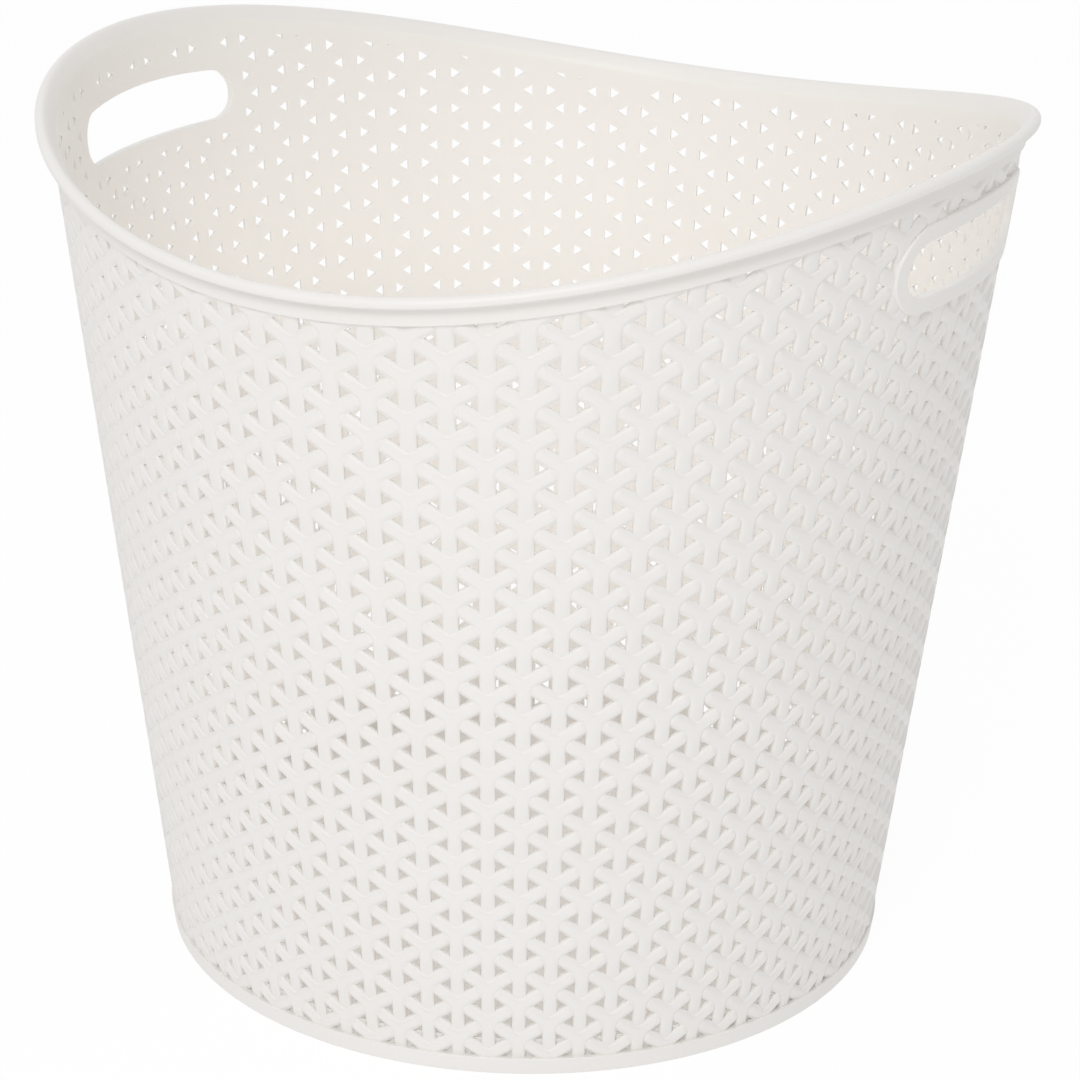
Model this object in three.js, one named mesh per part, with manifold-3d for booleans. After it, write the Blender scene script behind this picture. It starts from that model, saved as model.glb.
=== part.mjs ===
// A round, tapered laundry basket moulded in one shot from polypropylene.
// Its rim rises to two opposite hand slots and dips between them.
// Millimetres, +Z up, standing on Z = 0, with the hand slots on the X axis.

import * as THREE from 'three';
import { mergeVertices } from 'three/addons/utils/BufferGeometryUtils.js';
import Module from 'manifold-3d';

const wasm = await Module();
wasm.setup();

// The wall is a straight cone, open at the top. Both radii are of its outside.
const footRadius = 150.4;          // where the cone meets the ground
const mouthRadius = 190.6;         // at the rim's middle height
const wallThickness = 2.8;
const seamGap = 0.3;               // gap between neighbouring regions of the moulding

// The top edge rises to the hand slots and dips halfway between them.
const rimMidHeight = 343.6;
const rimSwing = 18;               // how far it rises and dips from the middle height

// The lip is a rounded bead. Below it a smooth band ends the openwork wall.
const lipHeight = 3.3;
const lipReach = 4.2;              // how far the lip stands out from the wall
const bandHeight = 7.3;
const bandStand = 0.8;             // how far the band stands out from the wall
const curlHeight = 3;              // the inside of the band curls outwards over this height
const curlReach = 0.9;             // and by this much, to meet the lip

// The hand slots, each with a raised smooth frame round it.
const slotLength = 111.4;
const slotHeight = 23.7;
const slotBelowRim = 26.6;         // from the crest of the lip down to the slot's upper edge
const slotEndFlat = 1.1;           // the straight part of each rounded end
const frameWidth = 6.8;
const frameStand = 1;              // how far the frame stands out from the wall
const frameOuterRound = 1;         // bevel on the frame's outer edge
const frameInnerRound = 0.5;       // bevel on the edge that the fingers touch

// The foot ring that the basket stands on, with a ledge inside for the floor.
const footHeight = 7.5;
const footStand = 0.8;             // how far the foot ring stands out from the wall
const footSkirt = 3.6;             // how wide the foot ring is where it touches the ground
const footLedge = 6.4;             // how far its ledge reaches in from the outside of the wall
const footLedgeThickness = 2.4;
const footChamfer = 0.8;

// The floor is a flat disc whose edge steps down onto the ledge.
const floorThickness = 2.6;
const floorRise = 4.5;             // from the ledge up to the floor's upper face
const floorStepWidth = 6;

// The relief of the openwork wall, where stems and arms follow the edges of a net of triangles.
// Each triangle of the net holds one small opening. Here it is a three-sided pit, to keep the faces few.
const patternColumns = 80;         // stems round the whole basket
const patternRow = 16;             // height of one row of the net
const patternTopNode = 303.75;     // height where arms leave a stem, in the columns that face the hand slots
const patternRowsAbove = 4;        // rows over that height, before the wall is trimmed to the rim
const patternRowsBelow = 19;
const pitDepth = 2;

const stepsAround = 96;            // flat facets round the whole basket
const slotCornerSteps = 10;        // facets in each corner of a slot
const slotEdgeSteps = 20;          // facets along each long edge of a slot
const lipSteps = 6;                // facets on each side of the lip
const plasticColor = 0xe9e7e1;

const turn = Math.PI * 2;
const quarter = turn / 4;

// The outside of the wall at a height.
function wallRadius(z) {
  return footRadius + ((mouthRadius - footRadius) * z) / rimMidHeight;
}

// The height of the crest of the lip, at an angle measured from a hand slot.
function crestHeight(angle) {
  return rimMidHeight + rimSwing * Math.cos(2 * angle);
}

const slotTop = crestHeight(0) - slotBelowRim;
const slotBottom = slotTop - slotHeight;
const slotRadius = wallRadius((slotTop + slotBottom) / 2);

// A point at a radius and height, at an angle from +X when seen from above.
function onCircle(radius, z, angle) {
  return [radius * Math.cos(angle), radius * Math.sin(angle), z];
}

// Joins equal outlines, each a list of points, into one closed mesh.
// They close on themselves in a ring. A capped chain has both ends closed by a strip across the outline.
function loft(outlines, capped) {
  const count = outlines[0].length;
  const links = capped ? outlines.length - 1 : outlines.length;
  const faces = [];
  for (let i = 0; i < links; i += 1) {
    const here = i * count;
    const next = ((i + 1) % outlines.length) * count;
    for (let j = 0; j < count; j += 1) {
      const k = (j + 1) % count;
      faces.push(here + j, next + j, next + k, here + j, next + k, here + k);
    }
  }
  if (capped) {
    const end = links * count;
    for (let i = 0; i < count / 2 - 1; i += 1) {
      const across = count - 1 - i;
      faces.push(i, i + 1, across - 1, i, across - 1, across);
      faces.push(end + i, end + across - 1, end + i + 1, end + i, end + across, end + across - 1);
    }
  }
  const geometry = new THREE.BufferGeometry();
  geometry.setAttribute('position', new THREE.Float32BufferAttribute(outlines.flat(2), 3));
  geometry.setIndex(faces);
  return geometry;
}

// section(angle) lists [radius, height] points, anticlockwise. This sweeps it all the way round.
function sweepRound(section) {
  const outlines = [];
  for (let i = 0; i < stepsAround; i += 1) {
    const angle = (turn * i) / stepsAround;
    outlines.push(section(angle).map(([radius, z]) => onCircle(radius, z, angle)));
  }
  return loft(outlines, false);
}

// This sweeps it between two angles only.
function sweepBetween(section, startAngle, endAngle) {
  const steps = Math.round((stepsAround * (endAngle - startAngle)) / turn);
  const outlines = [];
  for (let i = 0; i <= steps; i += 1) {
    const angle = startAngle + ((endAngle - startAngle) * i) / steps;
    outlines.push(section(angle).map(([radius, z]) => onCircle(radius, z, angle)));
  }
  return loft(outlines, true);
}

// Turns [distance out from the wall, height from the crest] points into a section that follows the rim.
function alongRim(points) {
  return (angle) => points.map(([out, rise]) => {
    const z = crestHeight(angle) + rise;
    return [wallRadius(z) + out, z];
  });
}

// A hand slot's outline, grown by a margin, as [angle from the slot's middle, height] points.
// The lower edge is level and the upper edge runs parallel to the rim.
function slotOutline(margin) {
  const radius = (slotHeight - slotEndFlat) / 2 + margin;
  const straight = slotLength / 2 + margin - radius;
  const upper = slotTop + margin - radius;
  const lower = slotBottom - margin + radius;
  const points = [];
  const corner = (x, z, startAngle) => {
    for (let i = 0; i <= slotCornerSteps; i += 1) {
      const angle = startAngle + (quarter * i) / slotCornerSteps;
      points.push([x + radius * Math.cos(angle), z + radius * Math.sin(angle)]);
    }
  };
  const edge = (direction, z) => {
    for (let i = 1; i < slotEdgeSteps; i += 1) {
      points.push([direction * straight * ((2 * i) / slotEdgeSteps - 1), z]);
    }
  };
  corner(straight, upper, 0);
  edge(-1, slotTop + margin);
  corner(-straight, upper, quarter);
  corner(-straight, lower, 2 * quarter);
  edge(1, slotBottom - margin);
  corner(straight, lower, 3 * quarter);
  return points.map(([along, z]) => {
    const angle = along / slotRadius;
    const share = THREE.MathUtils.clamp((z - slotBottom) / slotHeight, 0, 1);
    return [angle, z - share * (crestHeight(0) - crestHeight(angle))];
  });
}

// That outline as points in space, at a distance out from the wall.
function slotRing(middleAngle, margin, out) {
  return slotOutline(margin).map(([angle, z]) => onCircle(wallRadius(z) + out, z, middleAngle + angle));
}

function toSolid(geometry) {
  const merged = mergeVertices(geometry);
  const mesh = new wasm.Mesh({
    numProp: 3,
    vertProperties: new Float32Array(merged.attributes.position.array),
    triVerts: new Uint32Array(merged.index.array),
  });
  return new wasm.Manifold(mesh);
}

function toGeometry(solid) {
  const mesh = solid.getMesh();
  const geometry = new THREE.BufferGeometry();
  geometry.setAttribute('position', new THREE.BufferAttribute(new Float32Array(mesh.vertProperties), 3));
  geometry.setIndex(new THREE.BufferAttribute(new Uint32Array(mesh.triVerts), 1));
  return geometry;
}

// A quarter of the wall with its relief, a little taller than the wall is.
function reliefPanel(middleAngle) {
  const halfAngle = quarter / 2 - seamGap / 2 / wallRadius(0);
  const columns = patternColumns / 4;
  const low = patternTopNode - patternRowsBelow * patternRow;
  const high = patternTopNode + patternRowsAbove * patternRow;
  const points = [];
  const faces = [];
  const point = (angle, z, depth) => {
    points.push(onCircle(wallRadius(z) - depth, z, angle));
    return { index: points.length - 1, angle, z };
  };
  const face = (a, b, c) => faces.push(a.index, b.index, c.index);
  const outside = [];
  const inside = [];
  for (let i = 0; i <= columns; i += 1) {
    const offset = (i - columns / 2) * (turn / patternColumns);
    const angle = middleAngle + THREE.MathUtils.clamp(offset, -halfAngle, halfAngle);
    const heights = [low];
    for (let z = low + (i % 2 === 0 ? patternRow : patternRow / 2); z < high; z += patternRow) heights.push(z);
    heights.push(high);
    outside.push(heights.map((z) => point(angle, z, 0)));
    inside.push([low, high].map((z) => point(angle, z, wallThickness)));
  }
  for (let i = 0; i < columns; i += 1) {
    const [one, other] = [outside[i], outside[i + 1]];
    let [j, k] = [0, 0];
    while (j + k < one.length + other.length - 2) {
      const upOne = k === other.length - 1 || (j < one.length - 1 && one[j + 1].z < other[k + 1].z);
      const corners = [one[j], other[k], upOne ? one[j + 1] : other[k + 1]];
      const rise = upOne ? one[j + 1].z - one[j].z : other[k + 1].z - other[k].z;
      if (rise > patternRow * 0.9) {
        const mean = (key) => (corners[0][key] + corners[1][key] + corners[2][key]) / 3;
        const pit = point(mean('angle'), mean('z'), pitDepth);
        corners.forEach((corner, n) => face(corner, corners[(n + 1) % 3], pit));
      } else {
        face(...corners);
      }
      if (upOne) j += 1; else k += 1;
    }
    const [innerLow, innerHigh] = inside[i];
    const [nextLow, nextHigh] = inside[i + 1];
    face(innerLow, innerHigh, nextHigh);
    face(innerLow, nextHigh, nextLow);
    face(one[0], innerLow, nextLow);
    face(one[0], nextLow, other[0]);
    face(one.at(-1), other.at(-1), nextHigh);
    face(one.at(-1), nextHigh, innerHigh);
  }
  for (let j = 0; j + 1 < outside[0].length; j += 1) {
    face(inside[0][0], outside[0][j], outside[0][j + 1]);
    face(inside[columns][0], outside[columns][j + 1], outside[columns][j]);
  }
  face(inside[0][0], outside[0].at(-1), inside[0][1]);
  face(inside[columns][0], inside[columns][1], outside[columns].at(-1));
  const geometry = new THREE.BufferGeometry();
  geometry.setAttribute('position', new THREE.Float32BufferAttribute(points.flat(), 3));
  geometry.setIndex(faces);
  return toSolid(geometry);
}

// A quarter of the wall, trimmed to between the foot ring and the smooth band.
function wallPanel(middleAngle) {
  const past = wallThickness;        // the trimming solid reaches this far past both faces
  const section = (angle) => {
    const top = crestHeight(angle) - lipHeight - bandHeight - seamGap;
    return [
      [wallRadius(footHeight) + past, footHeight],
      [wallRadius(top) + past, top],
      [wallRadius(top) - wallThickness - past, top],
      [wallRadius(footHeight) - wallThickness - past, footHeight],
    ];
  };
  const halfAngle = quarter / 2 + turn / stepsAround;
  const room = toSolid(sweepBetween(section, middleAngle - halfAngle, middleAngle + halfAngle));
  return reliefPanel(middleAngle).intersect(room);
}

// A quarter of the wall with the opening that a grip frame fills.
function wallPanelWithOpening(middleAngle) {
  const margin = frameWidth + seamGap;
  const past = wallThickness;        // the cutter reaches this far past both faces
  const rings = [slotRing(middleAngle, margin, past), slotRing(middleAngle, margin, -wallThickness - past)];
  return wallPanel(middleAngle).subtract(toSolid(loft(rings, true)));
}

// The smooth raised frame round a hand slot, as deep as the wall.
function gripFrame(middleAngle) {
  const section = [
    [0, -wallThickness],
    [frameWidth, -wallThickness],
    [frameWidth, frameStand - frameOuterRound],
    [frameWidth - frameOuterRound, frameStand],
    [frameInnerRound, frameStand],
    [0, frameStand - frameInnerRound],
  ];
  const rings = section.map(([margin, out]) => slotRing(middleAngle, margin, out));
  return loft(rings[0].map((point, i) => rings.map((ring) => ring[i])), false);
}

// The smooth band under the lip.
function rimBand() {
  const bottom = -lipHeight - bandHeight;
  const top = -lipHeight - seamGap;
  return sweepRound(alongRim([
    [-wallThickness, bottom],
    [bandStand, bottom],
    [bandStand, top],
    [curlReach - wallThickness, top],
    [-wallThickness, top - curlHeight],
  ]));
}

// The rounded lip: a half circle outside, and a gentle slope down to the inside of the band.
function rimLip() {
  const radius = lipHeight / 2;
  const innerEdge = curlReach - wallThickness;
  const crest = lipReach - radius;
  const points = [[innerEdge, -lipHeight]];
  for (let i = 0; i <= lipSteps; i += 1) {
    const angle = (2 * quarter * i) / lipSteps - quarter;
    points.push([crest + radius * Math.cos(angle), radius * Math.sin(angle) - radius]);
  }
  for (let i = 1; i < lipSteps; i += 1) {
    const angle = quarter + (quarter * i) / lipSteps;
    points.push([crest + (crest - innerEdge) * Math.cos(angle), lipHeight * (Math.sin(angle) - 1)]);
  }
  return sweepRound(alongRim(points));
}

function footRing() {
  const outside = wallRadius(0) + footStand;
  const insideSkirt = outside - footSkirt;
  const insideLedge = wallRadius(footHeight) - footLedge;
  const underLedge = footHeight - footLedgeThickness;
  return sweepRound(() => [
    [insideSkirt, 0],
    [outside - footChamfer, 0],
    [outside, footChamfer],
    [wallRadius(footHeight) + footStand, footHeight],
    [insideLedge, footHeight],
    [insideLedge, underLedge],
    [insideSkirt, underLedge],
  ]);
}

function floorPanel() {
  const edge = wallRadius(footHeight) - wallThickness - seamGap;
  const insideLedge = wallRadius(footHeight) - footLedge;
  const top = footHeight + floorRise;
  const profile = [
    new THREE.Vector2(0, top - floorThickness),
    new THREE.Vector2(insideLedge - floorStepWidth, top - floorThickness),
    new THREE.Vector2(insideLedge, footHeight),
    new THREE.Vector2(edge, footHeight),
    new THREE.Vector2(edge, top),
    new THREE.Vector2(0, top),
  ];
  return new THREE.LatheGeometry(profile, stepsAround).rotateX(quarter);
}

const basket = new THREE.Group();

function add(name, geometry) {
  const plastic = new THREE.MeshStandardMaterial({ color: plasticColor, roughness: 0.5, metalness: 0 });
  const mesh = new THREE.Mesh(geometry, plastic);
  mesh.name = name;
  basket.add(mesh);
}

const right = 0;
const back = quarter;
const left = 2 * quarter;
const front = 3 * quarter;

add('foot_ring', footRing());
add('floor_panel', floorPanel());
add('wall_right', toGeometry(wallPanelWithOpening(right)));
add('wall_back', toGeometry(wallPanel(back)));
add('wall_left', toGeometry(wallPanelWithOpening(left)));
add('wall_front', toGeometry(wallPanel(front)));
add('grip_frame_right', gripFrame(right));
add('grip_frame_left', gripFrame(left));
add('rim_band', rimBand());
add('rim_lip', rimLip());

export default basket;
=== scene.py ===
# A round laundry basket, moulded in one shot from warm white polypropylene.
# Its wall carries a relief of interlocking three-armed pieces with small triangular holes between them.
import math

import bmesh
import bpy
import numpy as np
from mathutils import Matrix, Vector


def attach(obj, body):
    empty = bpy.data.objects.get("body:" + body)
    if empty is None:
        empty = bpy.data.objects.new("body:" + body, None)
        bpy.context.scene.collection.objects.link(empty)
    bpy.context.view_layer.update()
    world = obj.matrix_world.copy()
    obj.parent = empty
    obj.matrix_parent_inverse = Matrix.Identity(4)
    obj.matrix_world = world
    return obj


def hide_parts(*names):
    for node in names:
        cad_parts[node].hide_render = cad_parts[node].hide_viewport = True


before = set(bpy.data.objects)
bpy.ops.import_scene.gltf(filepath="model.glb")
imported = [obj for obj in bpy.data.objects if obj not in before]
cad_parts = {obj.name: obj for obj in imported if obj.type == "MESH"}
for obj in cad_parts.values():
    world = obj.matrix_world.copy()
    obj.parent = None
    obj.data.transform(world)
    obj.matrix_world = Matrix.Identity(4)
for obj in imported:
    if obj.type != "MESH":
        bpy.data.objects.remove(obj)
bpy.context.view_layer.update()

print("frame loaded:", ", ".join(sorted(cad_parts)))

scene = bpy.context.scene
millimetre = 0.001
tau = 2 * math.pi

# The cone and the wavy rim that every region of the moulding follows, in millimetres.
basket = {
    "footRadius": 150.4,       # outside of the wall, where its cone meets the ground
    "mouthRadius": 190.6,      # outside of the wall at the rim's middle height
    "rimMidHeight": 343.6,
    "rimSwing": 18.0,          # how far the rim rises over the hand slots and dips between them
    "wallThickness": 2.4,      # a guess, from how open the holes of the rear wall look
    "overlap": 0.05,           # how far a smooth region stands proud of the wall inside
    "stepsAround": 360,        # points in a ring of the smooth regions
}
taper = (basket["mouthRadius"] - basket["footRadius"]) / basket["rimMidHeight"]


def wallRadius(z):
    return basket["footRadius"] + taper * z


def crestHeight(angle):
    return basket["rimMidHeight"] + basket["rimSwing"] * math.cos(2 * angle)


def onCircle(radius, z, angle):
    radius *= millimetre
    return (radius * math.cos(angle), radius * math.sin(angle), z * millimetre)


def linearColour(hexCode):
    parts = [int(hexCode[i:i + 2], 16) / 255 for i in (1, 3, 5)]
    return tuple(c / 12.92 if c <= 0.04045 else ((c + 0.055) / 1.055) ** 2.4 for c in parts) + (1.0,)


def addNode(tree, kind, inputs=None, **settings):
    node = tree.nodes.new(kind)
    for name, value in settings.items():
        setattr(node, name, value)
    for key, value in (inputs or {}).items():
        if isinstance(value, bpy.types.NodeSocket):
            tree.links.new(value, node.inputs[key])
        else:
            node.inputs[key].default_value = value
    return node


# Polypropylene, injection moulded in a lightly spark-eroded steel mould: an even warm white with a
# soft satin sheen, never glossy, that the mould's fine grain breaks up, and very faint flow clouds.
plastic = {
    "colour": "#EFEDEA",
    "cloudColour": "#EDEAE6",
    "roughness": 0.44,
    "roughnessSwing": 0.05,    # either way, with the grain
    "ior": 1.49,
    "grain": 0.9,              # mm; the real grain is nearer 0.1 mm, drawn coarser so that it shows
    "grainDepth": 0.012,       # mm
    "cloud": 45.0,             # mm, the size of the flow clouds
}


def mouldedPolypropylene():
    material = bpy.data.materials.new("mouldedPolypropylene")
    material.use_nodes = True
    tree = material.node_tree
    tree.nodes.clear()
    place = addNode(tree, "ShaderNodeTexCoord").outputs["Object"]
    cloud = addNode(tree, "ShaderNodeTexNoise", {
        "Vector": place, "Scale": 1 / (plastic["cloud"] * millimetre), "Detail": 2.0, "Roughness": 0.5})
    colour = addNode(tree, "ShaderNodeMix", {
        "Factor": cloud.outputs["Fac"],
        "A": linearColour(plastic["colour"]),
        "B": linearColour(plastic["cloudColour"])}, data_type="RGBA")
    grain = addNode(tree, "ShaderNodeTexNoise", {
        "Vector": place, "Scale": 1 / (plastic["grain"] * millimetre), "Detail": 3.0, "Roughness": 0.6})
    satin = addNode(tree, "ShaderNodeMapRange", {
        "Value": grain.outputs["Fac"],
        "To Min": plastic["roughness"] - plastic["roughnessSwing"],
        "To Max": plastic["roughness"] + plastic["roughnessSwing"]})
    bump = addNode(tree, "ShaderNodeBump", {
        "Height": grain.outputs["Fac"], "Strength": 1.0,
        "Distance": plastic["grainDepth"] * millimetre})
    skin = addNode(tree, "ShaderNodeBsdfPrincipled", {
        "Roughness": satin.outputs["Result"], "IOR": plastic["ior"], "Normal": bump.outputs["Normal"]})
    tree.links.new(colour.outputs["Result"], skin.inputs["Base Color"])
    addNode(tree, "ShaderNodeOutputMaterial", {"Surface": skin.outputs["BSDF"]})
    return material


polypropylene = mouldedPolypropylene()
print("material made:", polypropylene.name)


def newPiece(name, mesh):
    piece = bpy.data.objects.new(name, mesh)
    scene.collection.objects.link(piece)
    return piece


# Replaces a piece's mesh by what its modifiers make of it, and takes them off.
def settle(piece):
    graph = bpy.context.evaluated_depsgraph_get()
    made = bpy.data.meshes.new_from_object(piece.evaluated_get(graph))
    old = piece.data
    piece.modifiers.clear()
    piece.data = made
    bpy.data.meshes.remove(old)
    made.name = piece.name
    return piece


# Smooth shading in which broad faces stay flat and the narrow ones between them read as rounded.
def softenEdges(piece, sharpAngle=50):
    piece.data.shade_smooth()
    piece.data.set_sharp_from_angle(angle=math.radians(sharpAngle))
    weighted = piece.modifiers.new("weightedNormals", "WEIGHTED_NORMAL")
    weighted.mode = "FACE_AREA"
    weighted.keep_sharp = True
    return settle(piece)


def finishPiece(piece, *nodes):
    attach(piece, "root")
    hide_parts(*nodes)
    print("piece made:", piece.name, len(piece.data.polygons), "faces")


# The relief, in millimetres. x runs right and z up from the lowest point of a notch, and depth inwards.
# Every column of stems carries one Y in each row, and neighbouring columns are half a row apart.
relief = {
    "columnsAround": 80,
    "columnWidth": 14.4,       # at the height where the shape was measured
    "rowHeight": 16.0,
    "topNotch": 306.9,         # height of a notch in the columns that face the hand slots
    "grooveDepth": 0.55,       # of the groove between an arm's tip and its neighbour
    "dipDepth": 1.0,           # how deep a stem dives before it passes under the Y below
    "holeDepth": 1.25,         # where the straight sides of a hole begin
    "leastLean": 0.5,          # keeps the rounding from growing long at a sharp corner
    "mergeReach": 0.02,        # points nearer than this join into one
}

# The edge of the right half of a Y: out along the arm, round its tip, back to the armpit, down the stem.
armEdge = [
    (0.0, -0.066), (0.569, 0.009), (1.091, 0.2235), (2.66, 1.119), (5.5, 2.74),
    (8.2, 4.28), (8.8, 4.23), (9.43, 3.88), (10.24, 3.07), (10.73, 2.03), (10.83, 0.89), (10.5, 0.06),
    (8.2, -1.22),
    (6.53, -2.17), (5.2, -2.93), (4.45, -3.38), (3.42, -4.41), (2.8, -5.73), (2.66, -7.0), (2.7, -8.5),
    (2.77, -10.0), (2.9, -12.3),
]
roundWidth = [1.25] * 6 + [1.1, 0.9] + [0.75] * 14           # of the rounding at each point of that edge
roundDepth = [0.95] * 6 + [0.75, 0.55] + [0.46] * 7 + [0.4] * 7
stemDip = {18: 0.03, 19: 0.12, 20: 0.3, 21: 0.6}             # how deep the stem lies at its last points

# The bottom of the groove round a tip, from one hole's corner to the next.
grooveLine = [(8.95, 4.69), (9.69, 4.25), (10.61, 3.33), (11.16, 2.15), (11.29, 1.0)]

# The foot of the upright face behind a notch, where the stem above ends.
stemEnd = [(0.0, 0.2), (0.5, 0.27), (0.95, 0.46), (2.62, 1.4)]
stemEndSide = (3.0, 1.62)

# The corners of the hole to the right of a stem.
holeLow, holeHigh, holeTip = (3.3, 2.2), (3.3, 7.2), (7.55, 4.72)


# Half a Y as a mesh of columns, rows and millimetres of depth.
def halfArm():
    width, row = relief["columnWidth"], relief["rowHeight"]
    thickness, rim = basket["wallThickness"], relief["holeDepth"]
    points, faces = [], []

    def point(place, depth, rows=0):
        points.append((place[0] / width, place[1] / row + rows, depth))
        return len(points) - 1

    # The same place on the neighbour's half, which is turned over and half a row down.
    def across(place):
        return (width - place[0], place[1] - row / 2)

    # An edge point moved on to the flat top.
    def inwards(i):
        here = np.array(armEdge[i])
        if i == 0:
            return (0.0, here[1] - roundWidth[i])
        before = here - armEdge[i - 1]
        after = np.array(armEdge[i + 1]) - here if i + 1 < len(armEdge) else np.array((0.0, -1.0))
        side = before / np.linalg.norm(before) + after / np.linalg.norm(after)
        side /= np.linalg.norm(side)
        lean = side @ (before / np.linalg.norm(before))
        reach = roundWidth[i] / max(lean, relief["leastLean"])
        return tuple(here + np.array((side[1], -side[0])) * reach)

    dips = [stemDip.get(i, 0.0) for i in range(len(armEdge))]
    edge = [point(armEdge[i], dips[i] + roundDepth[i]) for i in range(len(armEdge))]
    top = [point(inwards(i), dips[i]) for i in range(len(armEdge))]
    middle = {i: point((0.0, armEdge[i][1]), dips[i]) for i in stemDip}
    behind = [point(p, relief["dipDepth"]) for p in stemEnd]
    behindSide = point(stemEndSide, rim)
    end = [point(p, relief["dipDepth"], -1) for p in stemEnd]
    endSide = point(stemEndSide, rim, -1)
    low, high, tip = (point(p, rim) for p in (holeLow, holeHigh, holeTip))
    lowUnder, highUnder = point(holeLow, rim, -1), point(holeHigh, rim, -1)
    farHigh, farTip = point(across(holeHigh), rim), point(across(holeTip), rim)
    groove = [tip] + [point(p, relief["grooveDepth"]) for p in grooveLine] + [farHigh]
    farGroove = [farTip] + [point(across(p), relief["grooveDepth"]) for p in grooveLine] + [highUnder]

    # The flat top, first of the arm and then of the stem down to where it ends.
    faces += [top[12:3:-1], [top[14], top[13], top[12], top[4], top[3]],
              [middle[18]] + top[18:13:-1] + top[3::-1]]
    faces += [[top[i], middle[i], middle[i + 1], top[i + 1]] for i in (18, 19, 20)]
    faces += [[top[21], middle[21]] + end]
    # The rounding, and the sides that fall from it to the stem above, the groove and the hole.
    faces += [[top[i], top[i + 1], edge[i + 1], edge[i]] for i in range(len(edge) - 1)]
    faces += [[top[21], end[3], endSide, edge[21]]]
    faces += [[edge[0], edge[1], behind[1], behind[0]], [edge[1], edge[2], behind[2], behind[1]],
              [edge[2], edge[3], behindSide, behind[3], behind[2]],
              [edge[3], edge[4], edge[5], tip, low, behindSide]]
    faces += [[edge[5 + i], edge[6 + i], groove[i + 1], groove[i]] for i in range(len(groove) - 1)]
    faces += [[edge[11], edge[12], edge[13], farTip, farHigh]]
    faces += [[edge[13 + i], edge[14 + i], farGroove[i + 1], farGroove[i]]
              for i in range(len(farGroove) - 1)]
    faces += [[edge[19], edge[20], edge[21], endSide, lowUnder, highUnder]]

    # The hole goes straight through, and the inside of the wall is smooth.
    around = [low, tip, high]
    low, tip, high = (point(p, thickness) for p in (holeLow, holeTip, holeHigh))
    within = [low, tip, high]
    faces += [[around[i], around[(i + 1) % 3], within[(i + 1) % 3], within[i]] for i in range(3)]
    lowMiddle, highMiddle = point((0.0, holeLow[1]), thickness), point((0.0, holeHigh[1]), thickness)
    nextLow, nextLowMiddle = point(holeLow, thickness, 1), point((0.0, holeLow[1]), thickness, 1)
    nextFarTip, nextFarLow = point(across(holeTip), thickness, 1), point(across(holeLow), thickness, 1)
    faces += [[highMiddle, high, low, lowMiddle], [nextLowMiddle, nextLow, high, highMiddle],
              [high, nextLow, nextFarTip], [nextFarTip, nextFarLow, tip, high]]

    mesh = bpy.data.meshes.new("halfArm")
    mesh.from_pydata(points, [], faces)
    mesh.validate()
    return mesh


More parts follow.
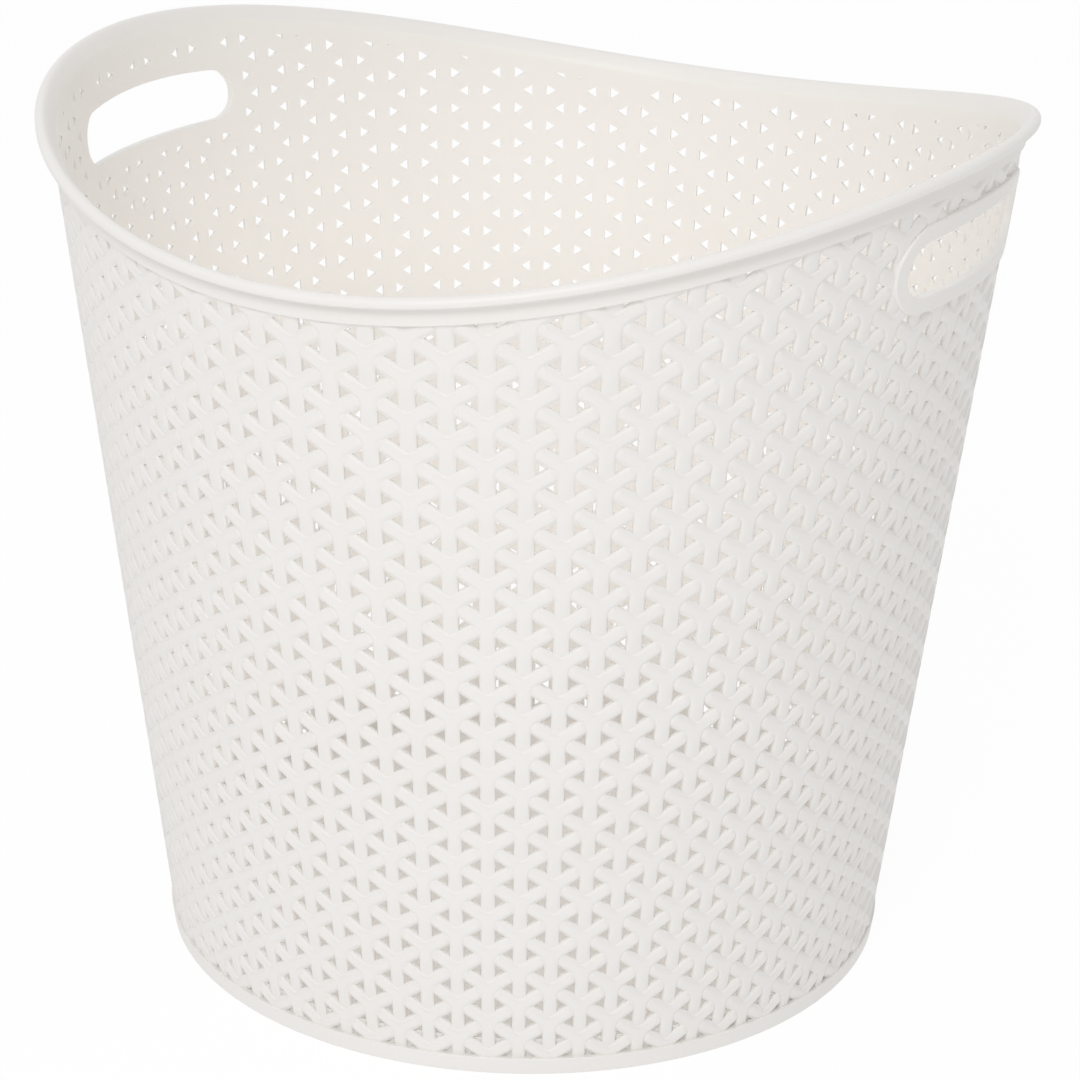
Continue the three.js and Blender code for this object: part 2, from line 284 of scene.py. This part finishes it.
# Lays the half Y and its turned-over twin in strips and rows, and wraps them round the cone.
def wovenWallTree():
    tree = bpy.data.node_groups.new("wovenWall", "GeometryNodeTree")
    sockets = [("Half arm", "Geometry"), ("Strips", "Int"), ("Rows", "Int"), ("First column", "Int"),
               ("Columns around", "Int"), ("Top notch", "Float"), ("Row height", "Float"),
               ("Foot radius", "Float"), ("Taper", "Float"), ("Plastic", "Material")]
    for name, kind in sockets:
        tree.interface.new_socket(name, in_out="INPUT", socket_type="NodeSocket" + kind)
    tree.interface.new_socket("Wall", in_out="OUTPUT", socket_type="NodeSocketGeometry")
    given = addNode(tree, "NodeGroupInput").outputs

    def maths(operation, *values):
        return addNode(tree, "ShaderNodeMath", dict(enumerate(values)), operation=operation).outputs[0]

    turned = addNode(tree, "GeometryNodeTransform", {
        "Geometry": given["Half arm"], "Translation": (1.0, -0.5, 0.0), "Scale": (-1.0, 1.0, 1.0)})
    twin = addNode(tree, "GeometryNodeFlipFaces", {"Mesh": turned.outputs["Geometry"]})
    strip = addNode(tree, "GeometryNodeJoinGeometry")
    tree.links.new(given["Half arm"], strip.inputs[0])
    tree.links.new(twin.outputs["Mesh"], strip.inputs[0])

    index = addNode(tree, "GeometryNodeInputIndex").outputs[0]
    stripNumber = maths("FLOOR", maths("DIVIDE", maths("ADD", index, 0.5), given["Rows"]))
    rowNumber = maths("SUBTRACT", index, maths("MULTIPLY", stripNumber, given["Rows"]))
    column = maths("ADD", stripNumber, given["First column"])
    halfRow = maths("MULTIPLY", maths("FLOORED_MODULO", column, 2.0), 0.5)
    corner = addNode(tree, "ShaderNodeCombineXYZ", {
        "X": column, "Y": maths("SUBTRACT", halfRow, rowNumber)})
    spots = addNode(tree, "GeometryNodePoints", {
        "Count": maths("MULTIPLY", given["Strips"], given["Rows"]), "Position": corner.outputs[0]})
    laid = addNode(tree, "GeometryNodeInstanceOnPoints", {
        "Points": spots.outputs[0], "Instance": strip.outputs[0]})
    real = addNode(tree, "GeometryNodeRealizeInstances", {"Geometry": laid.outputs[0]})

    flat = addNode(tree, "ShaderNodeSeparateXYZ", {
        "Vector": addNode(tree, "GeometryNodeInputPosition").outputs[0]}).outputs
    angle = maths("MULTIPLY", flat["X"], maths("DIVIDE", tau, given["Columns around"]))
    height = maths("ADD", maths("MULTIPLY", flat["Y"], given["Row height"]), given["Top notch"])
    outside = maths("ADD", maths("MULTIPLY", height, given["Taper"]), given["Foot radius"])
    radius = maths("SUBTRACT", outside, flat["Z"])
    wrapped = addNode(tree, "ShaderNodeCombineXYZ", {
        "X": maths("MULTIPLY", radius, maths("COSINE", angle)),
        "Y": maths("MULTIPLY", radius, maths("SINE", angle)), "Z": height})
    scaled = addNode(tree, "ShaderNodeVectorMath", {
        0: wrapped.outputs[0], "Scale": millimetre}, operation="SCALE")
    wall = addNode(tree, "GeometryNodeSetPosition", {
        "Geometry": real.outputs[0], "Position": scaled.outputs[0]})
    joined = addNode(tree, "GeometryNodeMergeByDistance", {
        "Geometry": wall.outputs[0], "Distance": relief["mergeReach"] * millimetre})
    finished = addNode(tree, "GeometryNodeSetMaterial", {
        "Geometry": joined.outputs[0], "Material": given["Plastic"]})
    out = addNode(tree, "NodeGroupOutput")
    tree.links.new(finished.outputs[0], out.inputs[0])
    return tree


# Where a quarter of the wall is closed or cut, how far a point may lie, in millimetres:
seam = {
    "planeReach": 0.01,        # from the plane between two quarters, for a point of the upright side
    "innerReach": 0.1,         # from the inside of the wall, for one of that side's inner line
    "endReach": 20.0,          # past the ends of its outer line, for one of the inner line
    "cutReach": 0.0001,        # from a level cut, for a point that counts as on it
}


# Closes one upright side of a quarter with triangles between its outer and its inner line of points.
def closeSeam(mesh, angle, direction):
    normal = Vector((-math.sin(angle), math.cos(angle), 0.0))
    planeReach, endReach = seam["planeReach"] * millimetre, seam["endReach"] * millimetre
    onSeam = [v for v in mesh.verts if abs(v.co.dot(normal)) < planeReach and v.is_boundary]

    def isDeep(v):
        inside = wallRadius(v.co.z / millimetre) - basket["wallThickness"]
        return math.hypot(v.co.x, v.co.y) / millimetre < inside + seam["innerReach"]

    outer = sorted((v for v in onSeam if not isDeep(v)), key=lambda v: v.co.z)
    inner = sorted((v for v in onSeam if isDeep(v)), key=lambda v: v.co.z)
    inner = [v for v in inner if outer[0].co.z - endReach < v.co.z < outer[-1].co.z + endReach]
    i = j = 0
    while i + 1 < len(outer) or j + 1 < len(inner):
        nextOuter = i + 1 < len(outer) and (
            j + 1 == len(inner)
            or outer[i + 1].co.z + outer[i].co.z < inner[j + 1].co.z + inner[j].co.z)
        added = outer[i + 1] if nextOuter else inner[j + 1]
        corners = [outer[i], added, inner[j]]
        mesh.faces.new(corners if direction < 0 else corners[::-1])
        i, j = (i + 1, j) if nextOuter else (i, j + 1)


# Cuts the quarter level at a height, keeps one side and closes the cut.
def trimLevel(mesh, height, keepAbove):
    cut = bmesh.ops.bisect_plane(
        mesh, geom=mesh.verts[:] + mesh.edges[:] + mesh.faces[:], dist=seam["cutReach"] * millimetre,
        plane_co=(0, 0, height * millimetre), plane_no=(0, 0, 1),
        clear_inner=keepAbove, clear_outer=not keepAbove)
    edges = [e for e in cut["geom_cut"] if isinstance(e, bmesh.types.BMEdge)]
    filled = bmesh.ops.holes_fill(mesh, edges=edges, sides=0)
    bmesh.ops.triangulate(mesh, faces=filled["faces"])


# Lifts the mesh by the rim's wave, or lowers it, so that a level cut follows the rim.
def followRim(mesh, direction):
    swing = direction * basket["rimSwing"]
    for v in mesh.verts:
        v.co.z += swing * math.cos(2 * math.atan2(v.co.y, v.co.x)) * millimetre


wovenWall = {
    "strips": 20,              # in each quarter of the wall
    "rows": 26,
    "rowsAbove": 4,            # rows over the top notch, before the rim trims them
    "intoBand": 3.5,           # how far the relief runs on under the smooth band
    "intoFoot": 1.4,           # and behind the foot ring
    "intoFrame": 1.6,          # and under the hand slots' frames
    "cutterReach": (16.0, -8.0),   # of the slots' cutter, out and in, so that its flat ends clear the wall
}

# The smooth regions, in millimetres. The values called steps are numbers of faces.
lip = {
    "height": 4.1,
    "reach": 5.2,              # how far it stands out from the wall
    "shoulder": 3.0,           # width and depth of its rounded outer shoulder
    "shoulderDepth": 2.6,
    "underRound": 1.0,
    "innerPull": 1.6,          # how far the inner side keeps the band's slope before it turns level
    "steps": 10, "underSteps": 5,
}
band = {
    "height": 7.3,
    "stand": 0.6,              # how far it stands out from the wall under the lip
    "edgeStand": 1.1,          # and at its lower edge
    "curlHeight": 3.0,         # its inside curls outwards over this height
    "curlReach": 0.9,
    "edgeRound": 0.25,
    "underLipRound": 0.7,
    "insideReach": 0.6,        # how much further down it goes inside
    "intoLip": 0.3,            # how far it runs up into the lip
    "behindLip": 0.1,          # and how far behind the lip's inner side that part stays
    "curlSteps": 5, "edgeSteps": 3, "underLipSteps": 4,
}
grip = {
    "slotLength": 111.4,
    "slotHeight": 23.7,
    "slotBelowRim": 26.6,
    "slotEndFlat": 1.1,        # the straight part of a slot's end, between its two round corners
    "frameWidth": 6.8,
    "frameStand": 1.0,
    "outerRound": 0.9,
    "innerRound": 0.6,
    "backChamfer": 0.35,       # on the frame's inside, round the slot
    "cornerSteps": 16, "edgeSteps": 48, "roundSteps": 5,
}
foot = {
    "height": 7.5,
    "stand": 0.8,              # how far it stands out from the wall
    "skirt": 3.6,              # its thickness where it stands on the ground
    "ledge": 6.4,
    "ledgeThickness": 2.4,
    "bottomRound": 0.8,        # of the outer lower edge, drawn as two flats
    "bottomMiddle": 0.24,      # how far in and up those two meet
    "topRound": 0.35,
    "topSteps": 4,
}
floorPlate = {
    "rise": 4.5,               # from the foot ring's ledge up to the floor
    "thickness": 2.6,
    "middleRadius": 10.0,      # of the face in the middle that closes the rings
    "stepWidth": 6.0,
    "cornerRound": 3.2,        # the fillet between the floor and the wall
    "cornerSteps": 6,
    "intoWall": 0.1,
}

slotTop = crestHeight(0) - grip["slotBelowRim"]
slotBottom = slotTop - grip["slotHeight"]
slotRadius = wallRadius((slotTop + slotBottom) / 2)


# Joins rings of points into a solid. They close on themselves, or the first and last ring are filled.
def loftRings(name, rings, closed):
    count = len(rings[0])
    links = len(rings) if closed else len(rings) - 1
    points = [p for ring in rings for p in ring]
    faces = []
    for i in range(links):
        here, there = i * count, (i + 1) % len(rings) * count
        for j in range(count):
            k = (j + 1) % count
            faces.append((here + j, here + k, there + k, there + j))
    if not closed:
        faces += [tuple(range(count)), tuple(range(links * count, links * count + count))]
    mesh = bpy.data.meshes.new(name)
    mesh.from_pydata(points, [], faces)
    shape = bmesh.new()
    shape.from_mesh(mesh)
    bmesh.ops.recalc_face_normals(shape, faces=shape.faces[:])
    shape.to_mesh(mesh)
    shape.free()
    mesh.materials.append(polypropylene)
    return newPiece(name, mesh)


# A hand slot's outline grown by a margin, as points on the wall at a distance out from it.
def slotRing(middleAngle, margin, out):
    radius = (grip["slotHeight"] - grip["slotEndFlat"]) / 2 + margin
    straight = grip["slotLength"] / 2 + margin - radius
    upper, lower = slotTop + margin - radius, slotBottom - margin + radius
    places = []

    def corner(x, z, start):
        for i in range(grip["cornerSteps"] + 1):
            angle = start + tau / 4 * i / grip["cornerSteps"]
            places.append((x + radius * math.cos(angle), z + radius * math.sin(angle)))

    def edge(direction, z):
        for i in range(1, grip["edgeSteps"]):
            places.append((direction * straight * (2 * i / grip["edgeSteps"] - 1), z))

    corner(straight, upper, 0)
    edge(-1, slotTop + margin)
    corner(-straight, upper, tau / 4)
    corner(-straight, lower, tau / 2)
    edge(1, slotBottom - margin)
    corner(straight, lower, tau * 3 / 4)
    ring = []
    for along, z in places:
        angle = along / slotRadius
        share = min(max((z - slotBottom) / grip["slotHeight"], 0.0), 1.0)
        z -= share * (crestHeight(0) - crestHeight(angle))
        ring.append(onCircle(wallRadius(z) + out, z, middleAngle + angle))
    return ring


def cutSlot(wall, middleAngle):
    margin = grip["frameWidth"] - wovenWall["intoFrame"]
    rings = [slotRing(middleAngle, margin, out) for out in wovenWall["cutterReach"]]
    cutter = loftRings("slotCutter", rings, False)
    cut = wall.modifiers.new("slot", "BOOLEAN")
    cut.operation = "DIFFERENCE"
    cut.solver = "MANIFOLD"
    cut.object = cutter
    settle(wall)
    bpy.data.objects.remove(cutter)


armMesh = halfArm()
wallTree = wovenWallTree()
wallInputs = [item for item in wallTree.interface.items_tree if item.in_out == "INPUT"]
wallSockets = {item.name: item.identifier for item in wallInputs}
print("half arm made:", len(armMesh.polygons), "faces")


def wallQuarter(name, node, middleAngle, withSlot):
    wall = newPiece(name, armMesh.copy())
    nodes = wall.modifiers.new("wovenWall", "NODES")
    nodes.node_group = wallTree
    middleColumn = round(middleAngle / tau * relief["columnsAround"])
    sizes = {
        "Strips": wovenWall["strips"],
        "Rows": wovenWall["rows"],
        "First column": middleColumn - wovenWall["strips"] // 2,
        "Columns around": relief["columnsAround"],
        "Top notch": relief["topNotch"] + wovenWall["rowsAbove"] * relief["rowHeight"],
        "Row height": relief["rowHeight"],
        "Foot radius": basket["footRadius"],
        "Taper": taper,
        "Plastic": polypropylene,
    }
    for label, value in sizes.items():
        nodes[wallSockets[label]] = value
    settle(wall)

    shape = bmesh.new()
    shape.from_mesh(wall.data)
    eighth = tau / 8
    closeSeam(shape, middleAngle - eighth, -1)
    closeSeam(shape, middleAngle + eighth, 1)
    trimLevel(shape, foot["height"] - wovenWall["intoFoot"], True)
    followRim(shape, -1)
    trimLevel(shape, basket["rimMidHeight"] - lip["height"] - band["height"] + wovenWall["intoBand"], False)
    followRim(shape, 1)
    loose = [v for v in shape.verts if not v.link_faces]
    bmesh.ops.delete(shape, geom=loose, context="VERTS")
    shape.to_mesh(wall.data)
    shape.free()
    if withSlot:
        cutSlot(wall, middleAngle)
    softenEdges(wall)
    finishPiece(wall, node)


wallQuarter("wallRight", "wall_right", 0.0, True)
wallQuarter("wallBack", "wall_back", tau / 4, False)
wallQuarter("wallLeft", "wall_left", tau / 2, True)
wallQuarter("wallFront", "wall_front", tau * 3 / 4, False)


anglesAround = [tau * i / basket["stepsAround"] for i in range(basket["stepsAround"])]


# Rings of points that follow the rim, from points (distance out from the wall, height from the crest).
def alongRim(section):
    return [[onCircle(wallRadius(crestHeight(a) + rise) + out, crestHeight(a) + rise, a)
             for a in anglesAround] for out, rise in section]


# Level rings, from points (radius, height).
def level(section):
    return [[onCircle(radius, z, a) for a in anglesAround] for radius, z in section]


def arc(centre, radii, start, end, steps):
    angles = [start + (end - start) * i / steps for i in range(steps + 1)]
    return [(centre[0] + radii[0] * math.cos(a), centre[1] + radii[1] * math.sin(a)) for a in angles]


# The inner side of the lip is a curve from the band's slope to level, and its outer shoulder is round.
def rimLip():
    height, reach = lip["height"], lip["reach"]
    innerEdge = band["curlReach"] - basket["wallThickness"] - basket["overlap"]
    under, shoulder, depth = lip["underRound"], lip["shoulder"], lip["shoulderDepth"]
    lean = 2 * band["curlReach"] / band["curlHeight"]          # the band's slope where the lip takes over
    start, end = Vector((innerEdge, -height)), Vector((reach - shoulder, 0.0))
    pull = lip["innerPull"]
    leave, arrive = start + Vector((lean, 1.0)) * pull, end - Vector((1.0, 0.0)) * pull
    section = [tuple(start)]
    section += arc((reach - under, under - height), (under, under), -tau / 4, 0, lip["underSteps"])
    section += arc((reach - shoulder, -depth), (shoulder, depth), 0, tau / 4, lip["steps"])
    for i in range(1, lip["steps"]):
        t = 1 - i / lip["steps"]
        place = (1 - t) ** 3 * start + 3 * t * (1 - t) ** 2 * leave
        place += 3 * t * t * (1 - t) * arrive + t ** 3 * end
        section.append(tuple(place))
    finishPiece(softenEdges(loftRings("rimLip", alongRim(section), True)), "rim_lip")


# The band runs up inside the lip, and its inner side curls outwards under it.
def rimBand():
    inside = -basket["wallThickness"] - basket["overlap"]
    bottom, top = -lip["height"] - band["height"], -lip["height"]
    stand, under, edgeRound = band["stand"], band["underLipRound"], band["edgeRound"]
    edgeMiddle = (band["edgeStand"] - edgeRound, bottom + edgeRound)
    hidden = top + band["intoLip"]
    section = [(inside, bottom - band["insideReach"])]
    section += arc(edgeMiddle, (edgeRound, edgeRound), -tau / 4, 0, band["edgeSteps"])
    section += arc((stand + under, top - under), (-under, under), 0, tau / 4, band["underLipSteps"])
    section += [(stand + under, hidden), (inside + band["curlReach"] + band["behindLip"], hidden)]
    for i in range(band["curlSteps"], -1, -1):
        share = i / band["curlSteps"]
        section.append((inside + band["curlReach"] * share * share, top - band["curlHeight"] * (1 - share)))
    finishPiece(softenEdges(loftRings("rimBand", alongRim(section), True)), "rim_band")


# A raised frame round a hand slot, through the wall and just past its inside.
def gripFrame(name, node, middleAngle):
    inside = -basket["wallThickness"] - basket["overlap"]
    width, stand = grip["frameWidth"], grip["frameStand"]
    outer, inner, steps = grip["outerRound"], grip["innerRound"], grip["roundSteps"]
    section = [(grip["backChamfer"], inside), (width, inside)]
    section += arc((width - outer, stand - outer), (outer, outer), 0, tau / 4, steps)
    section += arc((inner, stand - inner), (inner, inner), tau / 4, tau / 2, steps)
    section += [(0.0, inside + grip["backChamfer"])]
    rings = [slotRing(middleAngle, margin, out) for margin, out in section]
    finishPiece(softenEdges(loftRings(name, rings, True)), node)


# The ring that the basket stands on, with a ledge inside for the floor.
def footRing():
    height, edge = foot["height"], foot["topRound"]
    outside = wallRadius(0) + foot["stand"]
    insideSkirt = outside - foot["skirt"]
    insideLedge = wallRadius(height) - foot["ledge"]
    underLedge = height - foot["ledgeThickness"]
    edgeMiddle = (wallRadius(height) + foot["stand"] - edge, height - edge)
    section = [(insideSkirt, 0), (outside - foot["bottomRound"], 0),
               (outside - foot["bottomMiddle"], foot["bottomMiddle"]), (outside, foot["bottomRound"])]
    section += arc(edgeMiddle, (edge, edge), 0, tau / 4, foot["topSteps"])
    section += [(insideLedge, height), (insideLedge, underLedge), (insideSkirt, underLedge)]
    finishPiece(softenEdges(loftRings("footRing", level(section), True)), "foot_ring")


# The floor lies a step above the ledge and meets the wall in a fillet.
def floorPanel():
    ledgeTop, corner = foot["height"], floorPlate["cornerRound"]
    top = ledgeTop + floorPlate["rise"]
    under = top - floorPlate["thickness"]
    filletTop = top + corner
    wallInside = wallRadius(filletTop) - basket["wallThickness"]
    footInside = wallRadius(ledgeTop) - basket["wallThickness"]
    insideLedge = wallRadius(ledgeTop) - foot["ledge"]
    filletMiddle = (wallInside - corner, filletTop)
    section = [(floorPlate["middleRadius"], top), (wallInside - corner, top)]
    section += arc(filletMiddle, (corner, corner), -tau / 4, 0, floorPlate["cornerSteps"])[1:]
    section += [(wallInside + floorPlate["intoWall"], filletTop),
                (footInside + floorPlate["intoWall"], ledgeTop), (insideLedge, ledgeTop),
                (insideLedge - floorPlate["stepWidth"], under), (floorPlate["middleRadius"], under)]
    finishPiece(softenEdges(loftRings("floorPanel", level(section), False)), "floor_panel")


rimLip()
rimBand()
gripFrame("gripFrameRight", "grip_frame_right", 0.0)
gripFrame("gripFrameLeft", "grip_frame_left", tau / 2)
footRing()
floorPanel()


# The studio: a white floor that fades into a white surround, even light from all round that is strongest
# overhead, a broad soft lamp high in front of the basket, a weak one low in front, and two weak ones in it.
studio = {
    "colour": "#C4C2BF",       # of the floor, in the light it throws back
    "tableGlow": 0.8,          # share of that light that the floor gives off by itself, as a lit table does
    "seenColour": "#FFFFFF",   # of the floor and the surround, to the camera
    "shadowShare": 0.06,       # how much of the floor's own shading the camera sees
    "floorReach": 12.0,        # metres, from the middle to each side
    "surround": 0.56,          # strength of the even light from all round
    "sideways": (-0.06, -0.03, 0.0),   # how much stronger it is along each axis
    "overhead": 0.52,          # how much stronger it is straight above
    "overheadPower": 4.0,      # the higher, the narrower that part of the sky
    "aim": (0.0, 0.0, 0.18),   # metres, the point that the lamps outside face
    "lamps": [                 # name, place in metres, width in metres, watts
        ("keyLamp", (0.5, -2.15, 1.95), 1.0, 20.5),
        ("lowLamp", (0.25, -0.49, 0.03), 0.35, 0.15),
    ],
    "insideLamps": [           # these shine upwards, for the light that comes in through the real thin wall
        ("lowGlow", (-0.013, -0.007, 0.02), 0.16, 0.115),
        ("highGlow", (-0.013, -0.007, 0.19), 0.1, 0.115),
    ],
    "insideColour": "#FFF9F1",     # that light has taken on the plastic's warmth
}


# A factor that is 1 for what the camera sees directly, in a gloss or through glass.
def seenDirectly(tree):
    path = addNode(tree, "ShaderNodeLightPath").outputs
    seen = path["Is Camera Ray"]
    for other in ("Is Glossy Ray", "Is Transmission Ray"):
        seen = addNode(tree, "ShaderNodeMath", {0: seen, 1: path[other]}, operation="ADD").outputs[0]
    return seen


def whiteFloor():
    material = bpy.data.materials.new("studioFloor")
    material.use_nodes = True
    tree = material.node_tree
    tree.nodes.clear()
    thrown = addNode(tree, "ShaderNodeMix", {
        "Factor": seenDirectly(tree),
        "A": linearColour(studio["colour"]), "B": linearColour(studio["seenColour"])}, data_type="RGBA")
    paint = addNode(tree, "ShaderNodeBsdfDiffuse", {"Color": thrown.outputs["Result"]})
    white = addNode(tree, "ShaderNodeEmission", {
        "Color": linearColour(studio["seenColour"]), "Strength": 1.0})
    share = addNode(tree, "ShaderNodeMapRange", {
        "Value": seenDirectly(tree), "To Min": studio["tableGlow"], "To Max": 1 - studio["shadowShare"]})
    mixed = addNode(tree, "ShaderNodeMixShader", {
        0: share.outputs[0], 1: paint.outputs[0], 2: white.outputs[0]})
    addNode(tree, "ShaderNodeOutputMaterial", {"Surface": mixed.outputs[0]})
    mesh = bpy.data.meshes.new("studioFloor")
    reach = studio["floorReach"]
    corners = [(-reach, -reach, 0), (reach, -reach, 0), (reach, reach, 0), (-reach, reach, 0)]
    mesh.from_pydata(corners, [], [(0, 1, 2, 3)])
    mesh.materials.append(material)
    ground = newPiece("studioFloor", mesh)


def addLamp(name, place, width, watts, direction):
    data = bpy.data.lights.new(name, "AREA")
    data.shape = "DISK"
    data.size = width
    data.energy = watts
    lamp = bpy.data.objects.new(name, data)
    scene.collection.objects.link(lamp)
    lamp.location = place
    lamp.rotation_mode = "QUATERNION"
    lamp.rotation_quaternion = direction.to_track_quat("-Z", "Y")
    lamp.visible_camera = False
    return lamp


def softLight():
    world = bpy.data.worlds.new("studioWorld")
    scene.world = world
    world.use_nodes = True
    tree = world.node_tree
    tree.nodes.clear()
    direction = addNode(tree, "ShaderNodeTexCoord").outputs["Generated"]
    up = addNode(tree, "ShaderNodeSeparateXYZ", {"Vector": direction}).outputs["Z"]
    up = addNode(tree, "ShaderNodeMath", {0: up, 1: 0.0}, operation="MAXIMUM").outputs[0]
    overhead = addNode(tree, "ShaderNodeMath", {
        0: up, 1: studio["overheadPower"]}, operation="POWER").outputs[0]
    side = addNode(tree, "ShaderNodeVectorMath", {
        0: direction, 1: studio["sideways"]}, operation="DOT_PRODUCT").outputs["Value"]
    even = addNode(tree, "ShaderNodeMath", {0: side, 1: studio["surround"]}, operation="ADD").outputs[0]
    light = addNode(tree, "ShaderNodeMath", {
        0: overhead, 1: studio["overhead"], 2: even}, operation="MULTIPLY_ADD")
    strength = addNode(tree, "ShaderNodeMapRange", {
        "Value": seenDirectly(tree), "To Min": light.outputs[0], "To Max": 1.0})
    backdrop = addNode(tree, "ShaderNodeBackground", {
        "Color": linearColour(studio["seenColour"]), "Strength": strength.outputs["Result"]})
    addNode(tree, "ShaderNodeOutputWorld", {"Surface": backdrop.outputs[0]})
    aim = Vector(studio["aim"])
    for name, place, width, watts in studio["lamps"]:
        addLamp(name, place, width, watts, aim - Vector(place))
    for name, place, width, watts in studio["insideLamps"]:
        lamp = addLamp(name, place, width, watts, Vector((0, 0, 1)))
        lamp.data.color = linearColour(studio["insideColour"])[:3]
        lamp.visible_glossy = False


# The photograph's viewpoint.
viewpoint = {
    "lens": 106.452,           # mm
    "sensorWidth": 36.0,       # mm
    "place": (0.56927, -1.09803, 0.654491),    # metres
    "heading": 117.2007,       # degrees from +X
    "down": 0.376592,          # radians below the horizon
    "roll": 0.017513,          # radians
}


def placeCamera():
    heading, down, roll = math.radians(viewpoint["heading"]), viewpoint["down"], viewpoint["roll"]
    ahead = Vector((math.cos(heading), math.sin(heading), 0.0))
    forward = ahead * math.cos(down) - Vector((0.0, 0.0, math.sin(down)))
    right = Vector((math.sin(heading), -math.cos(heading), 0.0))
    up = right.cross(forward)
    rolledRight = right * math.cos(roll) + up * math.sin(roll)
    rolledUp = up * math.cos(roll) - right * math.sin(roll)
    data = bpy.data.cameras.new("photoCamera")
    data.lens = viewpoint["lens"]
    data.sensor_width = viewpoint["sensorWidth"]
    camera = bpy.data.objects.new("photoCamera", data)
    scene.collection.objects.link(camera)
    turn = Matrix((rolledRight, rolledUp, -forward)).transposed().to_4x4()
    camera.matrix_world = Matrix.Translation(viewpoint["place"]) @ turn
    scene.camera = camera


whiteFloor()
softLight()
placeCamera()
scene.view_settings.view_transform = "Standard"
print("studio made")
